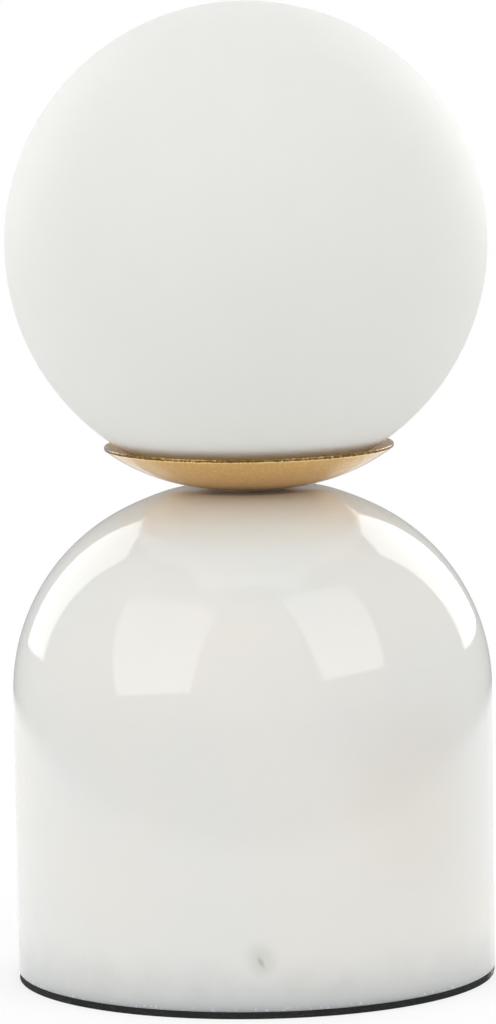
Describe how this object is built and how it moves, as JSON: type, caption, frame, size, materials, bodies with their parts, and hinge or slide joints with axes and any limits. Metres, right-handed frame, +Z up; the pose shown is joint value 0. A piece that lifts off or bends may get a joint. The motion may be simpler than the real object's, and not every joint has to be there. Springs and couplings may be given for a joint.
{
  "type": "glass globe table lamp",
  "caption": "Small table lamp: opal glass globe in a shallow gold dish on a polished marble dome, with a pin-base bulb on a ceramic holder inside and a thin foot pad.",
  "frame": {"origin": "centre of the foot pad's underside, on the surface the lamp stands on", "axes": "+Z up through the dome, dish and globe; +Y towards the back, out of the cable inlet; the front is -Y"},
  "size_m": [0.15, 0.15, 0.3051],
  "materials": {
    "marble": "polished white marble",
    "foam": "matt black foam",
    "board": "dark fibreboard",
    "light_plastic": "off-white moulded plastic",
    "steel": "zinc-plated steel",
    "clear_film": "thin clear plastic",
    "gold": "satin gold, fine grain",
    "brass": "plain brass",
    "ceramic": "unglazed white ceramic",
    "bulb_glass": "clear",
    "phosphor": "yellow phosphor coat",
    "silicone": "translucent white silicone",
    "opal_glass": "opal glass, satin-matt outside",
    "brown_sleeve": "brown insulation",
    "blue_sleeve": "blue insulation"
  },
  "bodies": {
    "base": {"marble_base": "marble", "foot_pad": "foam", "cavity_cover": "board", "cable_gland": "light_plastic", "threaded_tube": "steel", "tube_bush_lower": "light_plastic", "tube_bush_upper": "light_plastic", "fender_washer": "steel", "tube_lock_washer": "steel", "tube_nut": "steel", "dish_seat_washer": "clear_film", "gold_dish": "gold", "dish_lock_washer": "steel", "dish_nut": "steel", "shade_sleeve": "gold", "holder_bracket": "steel", "lamp_holder": "ceramic", "holder_screws": "steel", "holder_contact_left": "brass", "holder_contact_right": "brass", "lead_left": "brown_sleeve", "lead_right": "blue_sleeve", "terminal_block": "light_plastic", "terminal_inserts": "brass", "terminal_screws": "steel", "terminal_fixing_screw": "steel"},
    "seal": {"globe_seal": "silicone"},
    "globe": {"glass_globe": "opal_glass"},
    "bulb": {"bulb_base": "ceramic", "bulb_envelope": "bulb_glass", "bulb_light_source": "phosphor", "bulb_pins": "steel"}
  },
  "joints": [
    {"name": "globe_turn", "type": "hinge", "parent": "base", "child": "seal", "pos_m": [0, 0, 0.158], "axis": [0, 0, 1], "range_deg": [0, 1080]},
    {"name": "globe_lift", "type": "slide", "parent": "seal", "child": "globe", "axis": [0, 0, 1], "range_m": [0, 0.1]},
    {"name": "bulb_pull", "type": "slide", "parent": "base", "child": "bulb", "axis": [0, 0, 1], "range_m": [0, 0.018]}
  ]
}
